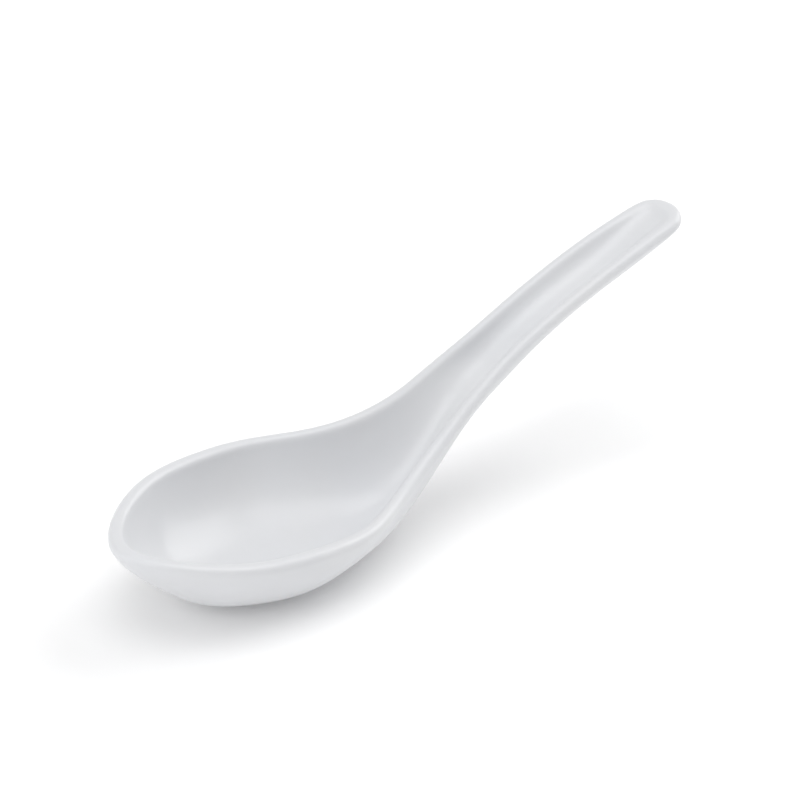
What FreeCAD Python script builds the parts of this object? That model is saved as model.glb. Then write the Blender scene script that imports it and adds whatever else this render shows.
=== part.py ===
import FreeCAD, Part
import math
import os
import Sketcher

# Amuse bouche spoon, in millimetres, +Z up.
#
# One moulded shell: a bowl with a flat foot, a neck, and a gutter handle that rises in an S and
# ends in a closed round. X runs along the spoon from the bowl's front to the handle's end, Y
# runs across it, and the two sides mirror each other. The sketches count X from the front. The
# finished body is moved back by half its length, so that the origin is at the middle of the
# length and width, on the surface that the foot rests on.
#
# The outside and the hollow are each one loft through U-shaped sections. In front of the bowl's
# widest point the section planes fan out about an axis above the rim, so that the front closes
# like the end of an egg. Along the neck and the handle they stand square to the rim line, and
# at the handle's end they fan out again. Towards that end the floor under the hollow gets
# thicker, so the hollow runs out in a shallow dish. Both lofts stand higher than the rim. A
# side-view cut trims them along the rim line, a second one planes the foot, and a fillet rounds
# the lip.

NODE = "spoon"

# Driving dimensions: alias, value, what it is. Angles are in degrees. A fullness is the share of
# a section's half width and depth that its curve keeps straight: 0.55 gives half an ellipse, a
# smaller one a keel and a larger one a box.
SIZES = (
    ("length", 135.2, "overall length"),
    ("bowl_width", 46.0, "width of the bowl's widest section at its open side"),
    ("bowl_middle", 30.6, "distance of the widest section from the front"),
    ("front_rim", 19.1, "height of the rim at the front"),
    ("neck_rim", 16.15, "height of the rim where the neck starts"),
    ("neck_start", 42.6, "distance of the neck's start from the front"),
    ("neck_radius", 54.0, "radius of the rim line along the neck"),
    ("handle_pitch", 32.1, "steepest slope of the rim line"),
    ("arch_radius", 184.0, "radius of the rim line along the handle"),
    ("wall", 3.0, "thickness of the bowl's side walls, and so of its lip"),
    ("floor_wall", 3.0, "thickness of the bowl's floor and of the neck's back"),
    ("lip_round", 1.2, "radius of the lip's rounding, kept under LIP_LIMIT of the wall"),
    ("foot_cut", 0.6, "depth that the foot's plane takes off the outside"),
    ("fan_height", 34.8, "height of the front fan's axis above the foot"),
    ("fan_core", 7.0, "distance from that axis at which its sections start"),
    ("fan_turn", 87.0, "turn of the front fan's last section"),
    ("front_reach", 33.4, "distance from that axis to the outside in front"),
    ("front_power", 2.2, "exponent of the front's superellipse in side view"),
    ("front_fullness", 0.27, "fullness of the frontmost section"),
    ("bowl_fullness", 0.69, "fullness of the widest section"),
    ("shoulder_half", 22.3, "half width where the neck starts"),
    ("shoulder_depth", 16.65, "depth there, from the rim to the back"),
    ("shoulder_fullness", 0.59, "fullness there"),
    ("heel_half", 18.4, "half width above the foot's rear"),
    ("heel_depth", 16.85, "depth there"),
    ("heel_fullness", 0.51, "fullness there"),
    ("neck_half", 13.9, "half width of the neck"),
    ("neck_depth", 15.2, "depth there"),
    ("neck_fullness", 0.42, "fullness there"),
    ("root_half", 11.4, "half width where the handle starts"),
    ("root_depth", 10.1, "depth there"),
    ("root_fullness", 0.43, "fullness there"),
    ("throat_half", 9.0, "half width at the handle's narrow throat"),
    ("throat_depth", 7.8, "depth there"),
    ("grip_half", 8.0, "half width where the handle is held"),
    ("grip_depth", 6.7, "depth there"),
    ("taper_half", 7.5, "half width where the handle's end begins"),
    ("taper_depth", 6.5, "depth there"),
    ("handle_fullness", 0.54, "fullness of the handle's outside"),
    ("groove_wall", 2.6, "thickness of the side walls along the handle"),
    ("groove_fullness", 0.66, "fullness of the hollow along the handle"),
    ("end_half", 6.7, "half width of the handle's end"),
    ("end_depth", 5.3, "depth of the handle's end"),
    ("end_floor", 4.2, "thickness under the hollow at the handle's end"),
    ("end_axis", 6.4, "distance of the end fan's axis from the spoon's end"),
    ("end_reach", 7.3, "distance from that axis to the outside at the end"),
    ("end_core", 2.0, "distance from that axis at which its sections start"),
    ("end_turn", 86.0, "turn of the end fan's last section"),
    ("end_power", 2.2, "exponent of the end's superellipse in side view"),
    ("rim_spare", 6.0, "height of the stations above the rim along the neck"),
    ("end_spare", 3.0, "height of the end fan's axis above the rim"),
    ("cut_margin", 10.0, "what the two side-view cuts reach past the spoon"),
)

# Two roundings share the lip, so each takes less than half of the wall.
LIP_LIMIT = 0.46

# Where the sections lie, as shares of the front fan's turn, the neck's arc, the handle's arch
# and the end fan's turn.
FRONT_SHARES = (1.0, 0.78, 0.57, 0.38, 0.19, 0.0)
NECK_SHARES = (0.0, 0.3, 0.6, 0.9)
NECK_PLACES = ("shoulder", "heel", "neck", "root")
HANDLE_SHARES = (0.15, 0.5, 0.85)
HANDLE_PLACES = ("throat", "grip", "taper")
END_SHARES = (0.0, 0.26, 0.52, 0.79, 1.0)

# The side view's derived values. The rim line is a straight, a neck arc and a handle arch.
SIDE = (
    ("rim_slope", "=atan((Sizes.neck_rim - Sizes.front_rim) / Sizes.neck_start)",
     "slope of the bowl's rim"),
    ("neck_x", "=Sizes.neck_start - Sizes.neck_radius * sin(rim_slope)", "neck arc's centre"),
    ("neck_z", "=Sizes.neck_rim + Sizes.neck_radius * cos(rim_slope)", "neck arc's centre"),
    ("pitch", "=1deg * Sizes.handle_pitch", "slope where the neck arc meets the arch"),
    ("turn_x", "=neck_x + Sizes.neck_radius * sin(pitch)", "where they meet"),
    ("turn_z", "=neck_z - Sizes.neck_radius * cos(pitch)", "where they meet"),
    ("arch_x", "=turn_x + Sizes.arch_radius * sin(pitch)", "arch's centre"),
    ("arch_z", "=turn_z - Sizes.arch_radius * cos(pitch)", "arch's centre"),
    ("end_x", "=Sizes.length - Sizes.end_axis", "rim point under the end fan's axis"),
    ("end_slope", "=asin((arch_x - end_x) / Sizes.arch_radius)", "slope of the rim there"),
    ("end_z", "=arch_z + Sizes.arch_radius * cos(end_slope)", "height of the rim there"),
)


def add_sheet(label, rows):
    """A sheet with a row for each value: its name, its content under that alias, and a note."""
    sheet = doc.addObject("Spreadsheet::Sheet", label)
    for number, (alias, content, note) in enumerate(rows, start=1):
        sheet.set("A%d" % number, alias)
        sheet.set("B%d" % number, str(content))
        sheet.setAlias("B%d" % number, alias)
        sheet.set("C%d" % number, note)
    doc.recompute()
    return sheet


def fan_depth(angle, along, down, power, core):
    """Depth of a fan's section: from its core out to a superellipse about the fan's axis."""
    ellipse = "pow(sin(%s) / (%s); %s) + pow(cos(%s) / (%s); %s)"
    ellipse = ellipse % (angle, along, power, angle, down, power)
    return "pow(%s; -1 / %s) - %s" % (ellipse, power, core)


def station(name, place, outer, inner):
    """The sheet rows of one section.

    place is the x and z of its open side's middle and the tilt of its plane about Y. outer and
    inner are the half width, the depth and the fullness of the outside and of the hollow.
    """
    keys = ("x", "z", "tilt", "outer_half", "outer_depth", "outer_fullness",
            "inner_half", "inner_depth", "inner_fullness")
    return [(name + "_" + key, "=" + formula, key.replace("_", " ") + " of this section")
            for key, formula in zip(keys, place + outer + inner)]


def front_station(number, share):
    """A section of the fan about the axis above the bowl, from the front to the widest point."""
    angle = "(%s * Sizes.fan_turn)" % share
    outer = fan_depth(angle, "Sizes.front_reach", "Sizes.fan_height + Sizes.foot_cut",
                      "Sizes.front_power", "Sizes.fan_core")
    inner = fan_depth(angle, "Sizes.front_reach - Sizes.wall",
                      "Sizes.fan_height - Sizes.floor_wall", "Sizes.front_power", "Sizes.fan_core")
    place = ("Sizes.bowl_middle - Sizes.fan_core * sin(%s)" % angle,
             "Sizes.fan_height - Sizes.fan_core * cos(%s)" % angle, "1deg * " + angle)
    half = "Sizes.bowl_width / 2"
    fullness = "Sizes.bowl_fullness + %s * (Sizes.front_fullness - Sizes.bowl_fullness)" % share
    return station("front_%d" % number, place, (half, outer, fullness),
                   (half + " - Sizes.wall", inner, fullness))


def neck_station(name, share):
    """A section square to the neck's arc of the rim line."""
    slope = "(Side.rim_slope + %s * (Side.pitch - Side.rim_slope))" % share
    radius = "(Sizes.neck_radius - Sizes.rim_spare)"
    place = ("Side.neck_x + %s * sin(%s)" % (radius, slope),
             "Side.neck_z - %s * cos(%s)" % (radius, slope), "-" + slope)
    half = "Sizes.%s_half" % name
    depth = "Sizes.%s_depth + Sizes.rim_spare" % name
    fullness = "Sizes.%s_fullness" % name
    return station(name, place, (half, depth, fullness),
                   (half + " - Sizes.wall", depth + " - Sizes.floor_wall", fullness))


def blend(share, first, last):
    """The formula of a value that runs evenly from one size to another."""
    return "(Sizes.%s + %s * (Sizes.%s - Sizes.%s))" % (first, share, last, first)


def handle_station(name, share):
    """A section square to the handle's arch of the rim line."""
    slope = "(Side.pitch + %s * (Side.end_slope - Side.pitch))" % share
    spare = blend(share, "rim_spare", "end_spare")
    radius = "(Sizes.arch_radius + %s)" % spare
    place = ("Side.arch_x - %s * sin(%s)" % (radius, slope),
             "Side.arch_z + %s * cos(%s)" % (radius, slope), "-" + slope)
    half = "Sizes.%s_half" % name
    depth = "Sizes.%s_depth + %s" % (name, spare)
    wall = blend(share, "wall", "groove_wall")
    floor = blend(share, "floor_wall", "end_floor")
    return station(name, place, (half, depth, "Sizes.handle_fullness"),
                   (half + " - " + wall, depth + " - " + floor, "Sizes.groove_fullness"))


def end_station(number, share):
    """A section of the fan about the axis above the handle's end."""
    angle = "(%s * Sizes.end_turn)" % share
    slope = "(Side.end_slope + 1deg * %s)" % angle
    down = "Sizes.end_spare + Sizes.end_depth"
    outer = fan_depth(angle, "Sizes.end_reach", down, "Sizes.end_power", "Sizes.end_core")
    inner = fan_depth(angle, "Sizes.end_reach - Sizes.groove_wall", down + " - Sizes.end_floor",
                      "Sizes.end_power", "Sizes.end_core")
    axis_x = "Side.end_x - Sizes.end_spare * sin(Side.end_slope)"
    axis_z = "Side.end_z + Sizes.end_spare * cos(Side.end_slope)"
    place = ("%s + Sizes.end_core * sin(%s)" % (axis_x, slope),
             "%s - Sizes.end_core * cos(%s)" % (axis_z, slope), "-" + slope)
    half = "Sizes.end_half"
    return station("end_%d" % number, place, (half, outer, "Sizes.handle_fullness"),
                   (half + " - Sizes.groove_wall", inner, "Sizes.groove_fullness"))


def origin_plane(role):
    """The body's own origin plane of that role."""
    return [item for item in body.Origin.OriginFeatures if item.Role == role][0]


def add_sketch(name, role):
    """An empty sketch on one of the body's origin planes."""
    sketch = body.newObject("Sketcher::SketchObject", name)
    sketch.AttachmentSupport = (origin_plane(role), "")
    sketch.MapMode = "FlatFace"
    return sketch


def add_measures(sketch, measures):
    """Named dimensions, each bound to its formula: name, kind, ends, first value, formula."""
    for name, kind, ends, value, formula in measures:
        number = sketch.addConstraint(Sketcher.Constraint(kind, *ends, value))
        sketch.renameConstraint(number, name)
        sketch.setExpression("Constraints." + name, formula)


def add_section(name, side):
    """The outer or inner U of one station, with its open side closed by a chord.

    The U is a cubic B-spline with seven poles. Its sides start square to the chord and its
    bottom is level, and four measures hold the poles. The sketch starts with a plain U of
    about the right size, which the measures then set.
    """
    sketch = add_sketch(name + "_" + side, "YZ_Plane")
    about_y = FreeCAD.Rotation(FreeCAD.Vector(1, 0, 0), 1)
    sketch.AttachmentOffset = FreeCAD.Placement(FreeCAD.Vector(), about_y)
    sketch.setExpression("AttachmentOffset.Base.y", "Stations.%s_z" % name)
    sketch.setExpression("AttachmentOffset.Base.z", "Stations.%s_x" % name)
    sketch.setExpression("AttachmentOffset.Rotation.Angle", "Stations.%s_tilt" % name)

    half, depth = sizes.neck_half, sizes.neck_depth
    drop, spread = depth / 2, half / 2
    places = ((half, 0), (half, -drop), (spread, -depth), (0, -depth),
              (-spread, -depth), (-half, -drop), (-half, 0))
    poles = [FreeCAD.Vector(across, up, 0) for across, up in places]
    curve = Part.BSplineCurve()
    curve.buildFromPolesMultsKnots(poles, [4, 3, 4], [0, 0.5, 1], False, 3)
    spline = sketch.addGeometry(curve)
    chord = sketch.addGeometry(Part.LineSegment(poles[-1], poles[0]))
    sketch.exposeInternalGeometry(spline)
    pole = [number for number, item in enumerate(sketch.Geometry)
            if item.TypeId == "Part::GeomCircle"]
    link = Sketcher.Constraint
    sketch.addConstraint([
        link("Coincident", chord, 1, spline, 2),
        link("Coincident", chord, 2, spline, 1),
        link("Vertical", pole[0], 3, pole[1], 3),
        link("Horizontal", pole[2], 3, pole[3], 3),
        link("PointOnObject", pole[0], 3, -1),
        link("PointOnObject", pole[3], 3, -2),
        link("Symmetric", pole[6], 3, pole[0], 3, -2),
        link("Symmetric", pole[5], 3, pole[1], 3, -2),
        link("Symmetric", pole[4], 3, pole[2], 3, -2),
    ])
    half_formula = "Stations.%s_%s_half" % (name, side)
    depth_formula = "Stations.%s_%s_depth" % (name, side)
    fullness = "Stations.%s_%s_fullness * " % (name, side)
    add_measures(sketch, (
        ("half", "DistanceX", (-1, 1, pole[0], 3), half, half_formula),
        ("depth", "DistanceY", (pole[3], 3, -1, 1), depth, depth_formula),
        ("drop", "DistanceY", (pole[1], 3, -1, 1), drop, fullness + depth_formula),
        ("spread", "DistanceX", (-1, 1, pole[2], 3), spread, fullness + half_formula),
    ))
    return sketch


def add_loft(kind, name, side):
    """A smooth loft through the stations' sections, added to the body or taken from it."""
    sections = [add_section(station_name, side) for station_name in STATION_NAMES]
    doc.recompute()
    loft = body.newObject("PartDesign::" + kind, name)
    loft.Profile = sections[0]
    loft.Sections = sections[1:]
    loft.Ruled = False
    loft.Closed = False
    doc.recompute()
    return loft


def add_cut(name, sketch):
    """A cut across the whole spoon, along Y, with the outline of a side-view sketch."""
    doc.recompute()
    cut = body.newObject("PartDesign::Pocket", name)
    cut.Profile = sketch
    cut.Type = "ThroughAll"
    cut.Midplane = True
    doc.recompute()


def add_rim_cut():
    """Everything above the rim line: the bowl's straight, the neck's arc, the handle's arch."""
    sketch = add_sketch("RimLine", "XZ_Plane")
    before, past, above = -sizes.cut_margin, sizes.length + sizes.cut_margin, sizes.length
    slope, pitch = math.radians(side.rim_slope.Value), math.radians(side.pitch.Value)
    last = math.asin((side.arch_x - past) / sizes.arch_radius)
    normal = FreeCAD.Vector(0, 0, 1)
    neck_circle = Part.Circle(FreeCAD.Vector(side.neck_x, side.neck_z, 0), normal,
                              sizes.neck_radius)
    arch_circle = Part.Circle(FreeCAD.Vector(side.arch_x, side.arch_z, 0), normal,
                              sizes.arch_radius)
    front = FreeCAD.Vector(before, sizes.front_rim + before * math.tan(slope), 0)
    neck = FreeCAD.Vector(sizes.neck_start, sizes.neck_rim, 0)
    back = FreeCAD.Vector(past, side.arch_z + sizes.arch_radius * math.cos(last), 0)
    corners = (back, FreeCAD.Vector(past, above, 0), FreeCAD.Vector(before, above, 0), front)

    bowl_line = sketch.addGeometry(Part.LineSegment(front, neck))
    down, up = -math.pi / 2, math.pi / 2
    neck_arc = sketch.addGeometry(Part.ArcOfCircle(neck_circle, down + slope, down + pitch))
    arch_arc = sketch.addGeometry(Part.ArcOfCircle(arch_circle, up + last, up + pitch))
    riser, top, drop = [sketch.addGeometry(Part.LineSegment(first, second))
                        for first, second in zip(corners, corners[1:])]
    link = Sketcher.Constraint
    sketch.addConstraint([
        link("Tangent", bowl_line, 2, neck_arc, 1),
        link("Tangent", neck_arc, 2, arch_arc, 2),
        link("Coincident", arch_arc, 1, riser, 1),
        link("Coincident", riser, 2, top, 1),
        link("Coincident", top, 2, drop, 1),
        link("Coincident", drop, 2, bowl_line, 1),
        link("Vertical", riser),
        link("Horizontal", top),
        link("Vertical", drop),
    ])
    add_measures(sketch, (
        ("neck_start", "DistanceX", (-1, 1, bowl_line, 2), neck.x, "Sizes.neck_start"),
        ("neck_rim", "DistanceY", (-1, 1, bowl_line, 2), neck.y, "Sizes.neck_rim"),
        ("neck_radius", "Radius", (neck_arc,), sizes.neck_radius, "Sizes.neck_radius"),
        ("arch_radius", "Radius", (arch_arc,), sizes.arch_radius, "Sizes.arch_radius"),
        ("turn_x", "DistanceX", (-1, 1, neck_arc, 2), side.turn_x, "Side.turn_x"),
        ("arch_x", "DistanceX", (-1, 1, arch_arc, 3), side.arch_x, "Side.arch_x"),
        ("past", "DistanceX", (-1, 1, riser, 1), past, "Sizes.length + Sizes.cut_margin"),
        ("above", "DistanceY", (-1, 1, riser, 2), above, "Sizes.length"),
        ("before", "DistanceX", (drop, 1, -1, 1), sizes.cut_margin, "Sizes.cut_margin"),
    ))
    add_cut("RimCut", sketch)


def add_foot_cut():
    """Everything below the plane that the spoon rests on."""
    sketch = add_sketch("FootPlane", "XZ_Plane")
    margin = sizes.cut_margin
    corners = [FreeCAD.Vector(x, z, 0) for x, z in (
        (-margin, 0), (-margin, -margin), (sizes.length, -margin), (sizes.length, 0))]
    lines = [sketch.addGeometry(Part.LineSegment(first, second))
             for first, second in zip(corners, corners[1:] + corners[:1])]
    link = Sketcher.Constraint
    sketch.addConstraint([link("Coincident", line, 2, following, 1)
                          for line, following in zip(lines, lines[1:] + lines[:1])])
    sketch.addConstraint([
        link("Vertical", lines[0]),
        link("Horizontal", lines[1]),
        link("Vertical", lines[2]),
        link("Horizontal", lines[3]),
        link("PointOnObject", lines[3], 2, -1),
    ])
    add_measures(sketch, (
        ("before", "DistanceX", (lines[0], 1, -1, 1), margin, "Sizes.cut_margin"),
        ("below", "DistanceY", (lines[0], 2, -1, 1), margin, "Sizes.cut_margin"),
        ("reach", "DistanceX", (-1, 1, lines[2], 2), sizes.length, "Sizes.length"),
    ))
    add_cut("FootCut", sketch)


def add_lip(base):
    """The rounded lip: a fillet on every edge between the rim's band and the two lofts."""
    edges = []
    for number, edge in enumerate(base.Shape.Edges, start=1):
        faces = base.Shape.ancestorsOfType(edge, Part.Face)
        lofts = [face for face in faces if face.Surface.TypeId == "Part::GeomBSplineSurface"]
        if len(lofts) == 1 and edge.BoundBox.ZMin > sizes.floor_wall:
            edges.append("Edge%d" % number)
    lip = body.newObject("PartDesign::Fillet", "Lip")
    lip.Base = (base, edges)
    lip.setExpression("Radius", "min(Sizes.lip_round; %s * min(Sizes.wall; Sizes.groove_wall))"
                      % LIP_LIMIT)
    doc.recompute()


doc = FreeCAD.newDocument("amuse_bouche_spoon")
sizes = add_sheet("Sizes", SIZES)
side = add_sheet("Side", SIDE)

station_rows = []
for number, share in enumerate(FRONT_SHARES):
    station_rows += front_station(number, share)
for place, share in zip(NECK_PLACES, NECK_SHARES):
    station_rows += neck_station(place, share)
for place, share in zip(HANDLE_PLACES, HANDLE_SHARES):
    station_rows += handle_station(place, share)
for number, share in enumerate(END_SHARES):
    station_rows += end_station(number, share)
add_sheet("Stations", station_rows)
STATION_NAMES = [alias[:-2] for alias, formula, note in station_rows if alias.endswith("_x")]

body = doc.addObject("PartDesign::Body", NODE)
body.Label = NODE
add_loft("AdditiveLoft", "Outside", "outer")
add_rim_cut()
add_foot_cut()
hollow = add_loft("SubtractiveLoft", "Hollow", "inner")
add_lip(hollow)
body.setExpression("Placement.Base.x", "-Sizes.length / 2")
doc.recompute()

for item in doc.Objects:
    if "Invalid" in item.State or "Error" in item.State:
        raise RuntimeError("%s failed: %s" % (item.Label, item.State))
shape = body.Shape
if shape.isNull() or not shape.isValid() or len(shape.Solids) != 1:
    raise RuntimeError("%s is not one valid solid" % NODE)
os.makedirs("parts", exist_ok=True)
shape.exportStep("parts/%s.step" % NODE)

box = shape.optimalBoundingBox()
print("%s: %.1f x %.1f x %.1f mm" % (NODE, box.XLength, box.YLength, box.ZLength))
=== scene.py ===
# %% [markdown]
# # A tasting spoon on a white ground
#
# This spoon is one moulded piece: an egg-shaped bowl on a flat foot, a neck that narrows as it
# climbs, and a gutter-shaped handle with a closed round end. Its shape is already measured and
# solid.
#
# All lengths are in metres. The spoon lies along x, its bowl at the low end and its handle at the
# high end, and it stands on the plane z = 0.

# %% Load the measured frame
import math

import bmesh
import bpy
import numpy as np
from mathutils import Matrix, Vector


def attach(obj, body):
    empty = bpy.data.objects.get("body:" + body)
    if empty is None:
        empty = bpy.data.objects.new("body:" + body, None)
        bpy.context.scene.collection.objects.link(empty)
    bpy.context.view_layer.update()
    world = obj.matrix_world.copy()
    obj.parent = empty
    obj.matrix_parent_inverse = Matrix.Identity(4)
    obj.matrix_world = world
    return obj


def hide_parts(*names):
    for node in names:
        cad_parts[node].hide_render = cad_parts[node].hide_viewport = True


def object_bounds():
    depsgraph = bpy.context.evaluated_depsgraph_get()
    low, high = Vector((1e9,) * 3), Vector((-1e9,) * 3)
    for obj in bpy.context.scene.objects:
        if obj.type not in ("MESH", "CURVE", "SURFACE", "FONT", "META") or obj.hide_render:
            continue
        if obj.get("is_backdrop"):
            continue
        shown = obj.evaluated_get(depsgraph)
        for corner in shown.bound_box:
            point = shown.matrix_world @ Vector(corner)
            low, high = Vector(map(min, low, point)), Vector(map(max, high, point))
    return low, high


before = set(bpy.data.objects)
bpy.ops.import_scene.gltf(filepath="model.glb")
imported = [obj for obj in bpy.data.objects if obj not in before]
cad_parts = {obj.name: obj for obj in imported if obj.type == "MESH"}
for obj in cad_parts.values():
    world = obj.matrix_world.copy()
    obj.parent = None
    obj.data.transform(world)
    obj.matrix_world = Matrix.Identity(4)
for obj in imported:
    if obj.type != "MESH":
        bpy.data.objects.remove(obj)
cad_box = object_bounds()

print("spoon from", [round(v * 1000, 1) for v in cad_box[0]],
      "to", [round(v * 1000, 1) for v in cad_box[1]], "mm")

# %% [markdown]
# ## The glossy white
#
# Spoons like this are pressed from a thick white resin, and the mould leaves them smooth and
# glossy. A real moulded white is never quite even. The resin flows, so its tint drifts a little
# over a centimetre or two. The surface has a faint ripple, and washing makes some places duller
# than others. None of this can be picked out by itself, but without it a white object looks like
# a drawing of one.
#
# The finish could be painted as an image. Noise in the material's nodes is simpler here, because
# it needs no unwrapping and stays sharp at any distance. Every pattern reads Object coordinates,
# so it is fixed to the spoon.
#
# Noise hardly ever reaches nought or one. Most of it lies between 0.3 and 0.7, so the helpers
# below stretch that middle part over the range that is asked for.

# %% Nodes that the finish is made of
NOISE_LOW, NOISE_HIGH = 0.3, 0.7


def soft_noise(material, size, detail):
    """A noise pattern fixed to the object, with blobs of about the given size in metres."""
    nodes, links = material.node_tree.nodes, material.node_tree.links
    place = nodes.new("ShaderNodeTexCoord")
    noise = nodes.new("ShaderNodeTexNoise")
    noise.inputs["Scale"].default_value = 1 / size
    noise.inputs["Detail"].default_value = detail
    links.new(place.outputs["Object"], noise.inputs["Vector"])
    return noise.outputs["Fac"]


def spread(material, factor, low, high):
    """A number that follows a noise pattern from low to high."""
    nodes, links = material.node_tree.nodes, material.node_tree.links
    scale = nodes.new("ShaderNodeMapRange")
    scale.inputs["From Min"].default_value = NOISE_LOW
    scale.inputs["From Max"].default_value = NOISE_HIGH
    scale.inputs["To Min"].default_value = low
    scale.inputs["To Max"].default_value = high
    links.new(factor, scale.inputs["Value"])
    return scale.outputs["Result"]


def tinted(material, factor, first, second):
    """A colour that follows a noise pattern from the first colour to the second."""
    nodes, links = material.node_tree.nodes, material.node_tree.links
    ramp = nodes.new("ShaderNodeValToRGB")
    ramp.color_ramp.elements[0].position = NOISE_LOW
    ramp.color_ramp.elements[0].color = (*first, 1)
    ramp.color_ramp.elements[1].position = NOISE_HIGH
    ramp.color_ramp.elements[1].color = (*second, 1)
    links.new(factor, ramp.inputs["Fac"])
    return ramp.outputs["Color"]


print("three helpers: a noise pattern, a number and a colour that follow it")

# %% [markdown]
# ## Mixing the finish
#
# Three patterns of different sizes make the resin. The tint drifts over 20 mm, between a cool and
# a slightly warmer white. The gloss changes over 12 mm, where hands and washing have dulled it.
# The ripple has a pitch of 4 mm and is under two hundredths of a millimetre deep, as the mould's own
# polish leaves it.
#
# A separate coat layer could give the shine. A plain Principled shader with the refraction index
# of resin is enough, because the shine comes from the body of the resin and not from a varnish.

# %% Mix the glossy white
COOL_WHITE = (0.690, 0.699, 0.720)
WARM_WHITE = (0.701, 0.707, 0.721)
DRIFT_SIZE, WEAR_SIZE, RIPPLE_SIZE = 0.02, 0.012, 0.004
RIPPLE_DEPTH, RIPPLE_STRENGTH = 0.00002, 0.15
GLOSS_ROUGHNESS, GLOSS_WEAR = 0.3, 0.02
RESIN_IOR = 1.5
ONE_OCTAVE = 1.0


def glossy_white(name):
    """White resin: a tint that drifts over centimetres, fine ripples, and uneven gloss."""
    material = bpy.data.materials.new(name)
    material.use_nodes = True
    nodes, links = material.node_tree.nodes, material.node_tree.links
    shader = nodes["Principled BSDF"]
    shader.inputs["IOR"].default_value = RESIN_IOR

    drift = soft_noise(material, DRIFT_SIZE, ONE_OCTAVE)
    links.new(tinted(material, drift, COOL_WHITE, WARM_WHITE), shader.inputs["Base Color"])
    wear = soft_noise(material, WEAR_SIZE, ONE_OCTAVE)
    links.new(spread(material, wear, GLOSS_ROUGHNESS - GLOSS_WEAR, GLOSS_ROUGHNESS + GLOSS_WEAR),
              shader.inputs["Roughness"])

    ripple = nodes.new("ShaderNodeBump")
    ripple.inputs["Strength"].default_value = RIPPLE_STRENGTH
    ripple.inputs["Distance"].default_value = RIPPLE_DEPTH
    links.new(soft_noise(material, RIPPLE_SIZE, ONE_OCTAVE), ripple.inputs["Height"])
    links.new(ripple.outputs["Normal"], shader.inputs["Normal"])
    return material


resin = glossy_white("glossy_white")
print(resin.name, "with", len(resin.node_tree.nodes), "nodes")

# %% [markdown]
# ## An even skin
#
# The measured solid comes as thin loose triangles. They are exact, but a glossy finish shows
# every sliver where the lip's rounding meets the walls, as small dashes of light. A real mould is
# polished, and polishing takes off just that: the slivers and the last tenth of a millimetre of
# each edge.
#
# The same can be done to a copy. Its corners are merged, it is rebuilt from even squares, and it
# is then polished. A voxel remesh gives squares everywhere, where a hand-laid grid would bunch up
# at the bowl's front and the handle's end. Squares of 0.42 mm are a seventh of the wall, so the
# wall and the rounding of the lip both keep their form.

# %% Rebuild the skin in even squares
MERGE = 1e-6
SQUARE = 0.00042


def even_copy(name, node, square):
    """A copy of a node as a closed skin of squares with sides of the given length in metres."""
    work = bmesh.new()
    work.from_mesh(node.data)
    bmesh.ops.remove_doubles(work, verts=work.verts, dist=MERGE)
    merged = bpy.data.meshes.new(name)
    work.to_mesh(merged)
    work.free()
    piece = bpy.data.objects.new(name, merged)
    bpy.context.scene.collection.objects.link(piece)
    remesh = piece.modifiers.new("squares", "REMESH")
    remesh.mode = "VOXEL"
    remesh.voxel_size = square
    seen = piece.evaluated_get(bpy.context.evaluated_depsgraph_get())
    piece.data = bpy.data.meshes.new_from_object(seen)
    piece.modifiers.clear()
    return piece


skin = even_copy("polished_skin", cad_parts["spoon"], SQUARE)
print(len(skin.data.vertices), "points and", len(skin.data.polygons), "squares")

# %% [markdown]
# ## Polishing
#
# A voxel remesh leaves faint steps. Blender's Smooth modifier would take them off, and would also
# eat into the lip and the ends with every pass. Taubin's way, worked out here with
# numpy on all points at once, takes two steps: one moves each point towards the mean of its
# neighbours, and the next moves it away again by slightly more. Small bumps go and the form
# stays. The foot is then set back on the ground, so that no point lies below z = 0.

# %% Polish the skin
SHRINK, SWELL = 0.5, -0.51
PASSES = 30


def towards_neighbours(points, edges, share):
    """Every point moved by a share of the way to the mean of the points that it is joined to."""
    count = np.bincount(edges.ravel(), minlength=len(points))
    ends, others = edges.ravel(), edges[:, ::-1].ravel()
    total = np.stack([np.bincount(ends, weights=points[others, axis], minlength=len(points))
                      for axis in range(3)], axis=1)
    return points + share * (total / count[:, None] - points)


def polish(piece, passes):
    """Taubin's smoothing: a step that shrinks each bump, then one that swells the form back."""
    mesh = piece.data
    points = np.empty(3 * len(mesh.vertices))
    mesh.vertices.foreach_get("co", points)
    points = points.reshape(-1, 3)
    edges = np.empty(2 * len(mesh.edges), dtype=int)
    mesh.edges.foreach_get("vertices", edges)
    edges = edges.reshape(-1, 2)
    before = points.copy()
    for _ in range(passes):
        points = towards_neighbours(points, edges, SHRINK)
        points = towards_neighbours(points, edges, SWELL)
    points[:, 2] = np.maximum(points[:, 2], 0)
    mesh.vertices.foreach_set("co", points.ravel())
    mesh.polygons.foreach_set("use_smooth", [True] * len(mesh.polygons))
    mesh.update()
    return np.linalg.norm(points - before, axis=1).max()


print("polished by", round(polish(skin, PASSES) * 1000, 2), "mm at most")

# %% [markdown]
# ## The finish on the spoon
#
# The real spoon has one finish all over, foot included, because it comes out of one mould. So the
# skin gets one material. The skin stands for the measured solid, which is hidden but stays in the
# model for collision, and it rides on the spoon's only body.

# %% Put the finish on
skin.data.materials.append(resin)
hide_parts("spoon")
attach(skin, "root")
print(skin.name, "wears", resin.name)

# %% [markdown]
# ## The cove
#
# The spoon stands on plain white, with no line where the table ends. A studio gets this from an
# infinity cove: a white sheet that lies flat under the object and sweeps up in a curve well
# behind it. Here it sweeps up all round, so that the ground is as plain from any side.
#
# The cove is a height worked out for each point of a square grid: level near the middle, and
# then nearly a quarter of a circle by the distance from it. It lies a hair under the foot, because
# two faces in one plane would flicker. A little glow of its own, as from a light table, keeps the
# spoon's shadow faint.

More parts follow.
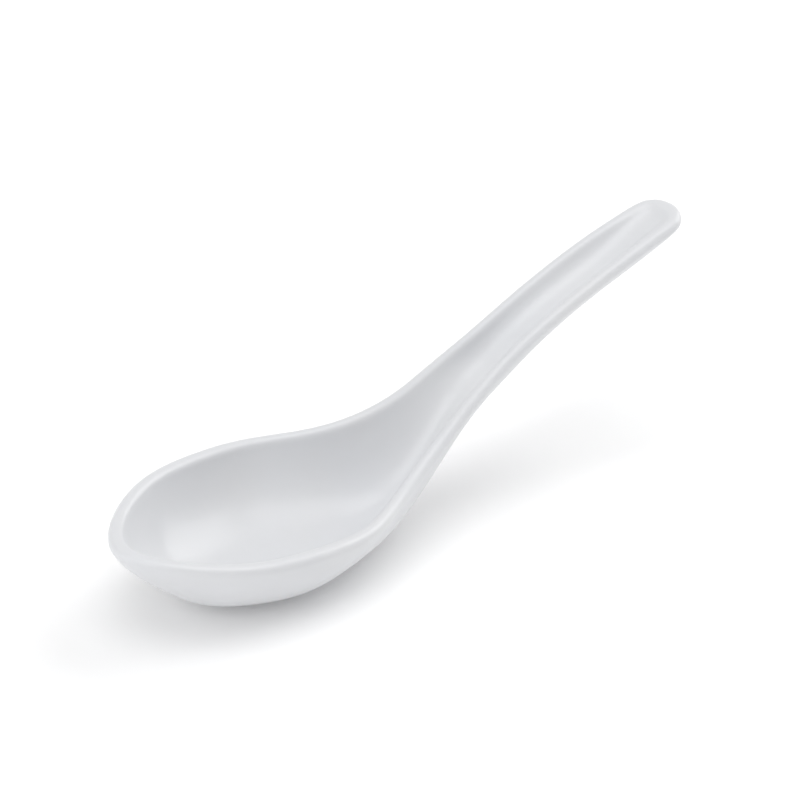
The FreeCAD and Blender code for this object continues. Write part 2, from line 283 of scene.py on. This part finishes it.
# %% Raise the cove
COVE_HALF = 4.0
COVE_SQUARES = 160
LEVEL_OUT_TO = 2.6
COVE_GAP = 0.00005
SWEEP = 1.3
SWEEP_SHARE = 0.95
GROUND_WHITE, GROUND_PALE = (0.94, 0.94, 0.94), (0.92, 0.92, 0.925)
GROUND_ROUGHNESS, GROUND_SHINE = 0.9, 0.2
GRAIN_SIZE, TWO_OCTAVES = 0.05, 2.0
GLOW = 0.06


def cove_height(x, y):
    """A hair under nought out to LEVEL_OUT_TO, then up a circle of radius SWEEP."""
    past = np.clip(np.hypot(x, y) - LEVEL_OUT_TO, 0, SWEEP_SHARE * SWEEP)
    return SWEEP - np.sqrt(SWEEP ** 2 - past ** 2) - COVE_GAP


def height_field(name, half, count, height):
    """A square sheet of count by count faces, whose height is a function of x and y."""
    side = np.linspace(-half, half, count + 1)
    x, y = np.meshgrid(side, side)
    points = np.stack([x, y, height(x, y)], axis=-1).reshape(-1, 3)
    corner = (np.arange(count)[:, None] * (count + 1) + np.arange(count)).ravel()
    faces = np.stack([corner, corner + 1, corner + count + 2, corner + count + 1], axis=1)
    mesh = bpy.data.meshes.new(name)
    mesh.from_pydata(points.tolist(), [], faces.tolist())
    mesh.polygons.foreach_set("use_smooth", [True] * len(faces))
    sheet = bpy.data.objects.new(name, mesh)
    bpy.context.scene.collection.objects.link(sheet)
    return sheet


def matt_white(name):
    """A matt white board with a barely uneven tint and a glow of its own."""
    material = bpy.data.materials.new(name)
    material.use_nodes = True
    shader = material.node_tree.nodes["Principled BSDF"]
    shader.inputs["Roughness"].default_value = GROUND_ROUGHNESS
    shader.inputs["Specular IOR Level"].default_value = GROUND_SHINE
    shader.inputs["Emission Color"].default_value = (1, 1, 1, 1)
    shader.inputs["Emission Strength"].default_value = GLOW
    grain = soft_noise(material, GRAIN_SIZE, TWO_OCTAVES)
    material.node_tree.links.new(tinted(material, grain, GROUND_PALE, GROUND_WHITE),
                                 shader.inputs["Base Color"])
    return material


cove = height_field("cove", COVE_HALF, COVE_SQUARES, cove_height)
cove.data.materials.append(matt_white("matt_white"))
cove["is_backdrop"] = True
print("cove of", round(cove.dimensions.x, 1), "by", round(cove.dimensions.y, 1),
      "m, up to", round(cove.dimensions.z, 2), "m high")

# %% [markdown]
# ## The light
#
# White on white only reads as a shape where its sides take different amounts of light. A bare
# bright room would flatten it, and one hard lamp would throw a dark shadow. A studio uses large
# soft lamps in a pale room, and so does this scene: the room fills every side with some light,
# and three softboxes give it its direction.
#
# The lamp on the right stands behind the rising handle. It whitens the ground and hardly touches
# the sides of the spoon that the camera sees, so the spoon comes out a little darker than its
# ground. The lamps at the left and overhead open up the bowl, the neck and the lips, and the room
# alone lifts the near wall. The lamps stand well back, so that they light the ground evenly. The
# picture is shown with the plain Standard view, because the default film-like view would turn the
# white ground grey.

# %% Light the room
ROOM = 0.42
LAMP_DISTANCE = 3.1
LAMP_SIDE = 2.4
LAMP_POWER = {
    "right": ((0.82, 0.0, 0.57), 44.0),
    "left": ((-0.82, 0.0, 0.57), 34.0),
    "overhead": ((0.0, 0.0, 1.0), 35.0),
}

room = bpy.data.worlds.new("room")
bpy.context.scene.world = room
room.use_nodes = True
background = room.node_tree.nodes["Background"]
background.inputs["Color"].default_value = (1, 1, 1, 1)
background.inputs["Strength"].default_value = ROOM
bpy.context.scene.view_settings.view_transform = "Standard"


def softbox(name, direction, distance, side, power):
    """A square lamp that faces the spoon; its place is the distance times the direction."""
    data = bpy.data.lights.new(name, "AREA")
    data.size, data.energy = side, power
    lamp = bpy.data.objects.new(name, data)
    towards = Vector(direction).normalized()
    lamp.location = distance * towards
    lamp.rotation_euler = towards.to_track_quat("Z", "Y").to_euler()
    bpy.context.scene.collection.objects.link(lamp)


for name, (direction, power) in LAMP_POWER.items():
    softbox(name, direction, LAMP_DISTANCE, LAMP_SIDE, power)
print(len(LAMP_POWER), "lamps of", LAMP_SIDE, "m,",
      sum(power for direction, power in LAMP_POWER.values()), "W in all")

# %% [markdown]
# ## The camera
#
# The spoon is seen from its side, turned towards the front of the bowl, and from 33 degrees above
# the ground, so that the hollow, the near lip and the handle all show. A long lens from 0.68 m
# keeps the handle from looking too small. Blender could aim the camera with a Track To
# constraint. Here the line of sight is worked out from the two angles, because it is then one
# plain vector that can be checked.
#
# The picture is 800 pixels square. The lens and the shift are written in those pixels, as they
# were measured, and turned into millimetres of sensor and parts of the picture's width.

# %% Place the camera
AZIMUTH, ELEVATION = math.radians(-36.31), math.radians(33.37)
TARGET = Vector((0.0005, 0.0, 0.022))
DISTANCE = 0.68265
PICTURE = 800
FOCAL_PIXELS = 3464.4
SHIFT_RIGHT, SHIFT_UP = -6.8, 18.6
SENSOR = 36.0
NEAR_CLIP = 0.01

line_of_sight = Vector((math.sin(AZIMUTH) * math.cos(ELEVATION),
                        -math.cos(AZIMUTH) * math.cos(ELEVATION), math.sin(ELEVATION)))
camera_data = bpy.data.cameras.new("camera")
camera_data.sensor_width = SENSOR
camera_data.lens = FOCAL_PIXELS / PICTURE * SENSOR
camera_data.shift_x = SHIFT_RIGHT / PICTURE
camera_data.shift_y = SHIFT_UP / PICTURE
camera_data.clip_start = NEAR_CLIP
camera = bpy.data.objects.new("camera", camera_data)
camera.location = TARGET + DISTANCE * line_of_sight
camera.rotation_euler = line_of_sight.to_track_quat("Z", "Y").to_euler()
bpy.context.scene.collection.objects.link(camera)
bpy.context.scene.camera = camera
print("camera with a lens of", round(camera_data.lens, 1), "mm at",
      [round(v, 3) for v in camera.location], "m")

# %% [markdown]
# ## Size
#
# A dressed model that has quietly grown or shrunk is no use to whoever needs the real size. So
# the box of the finished spoon is measured once more, next to the box that it came with, and both
# are printed.

# %% Measure and finish
visual_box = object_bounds()
boxes = {"cad": [list(map(float, corner)) for corner in cad_box],
         "visual": [list(map(float, corner)) for corner in visual_box]}
for kind, (low, high) in boxes.items():
    print(kind, "size", [round((b - a) * 1000, 2) for a, b in zip(low, high)], "mm")
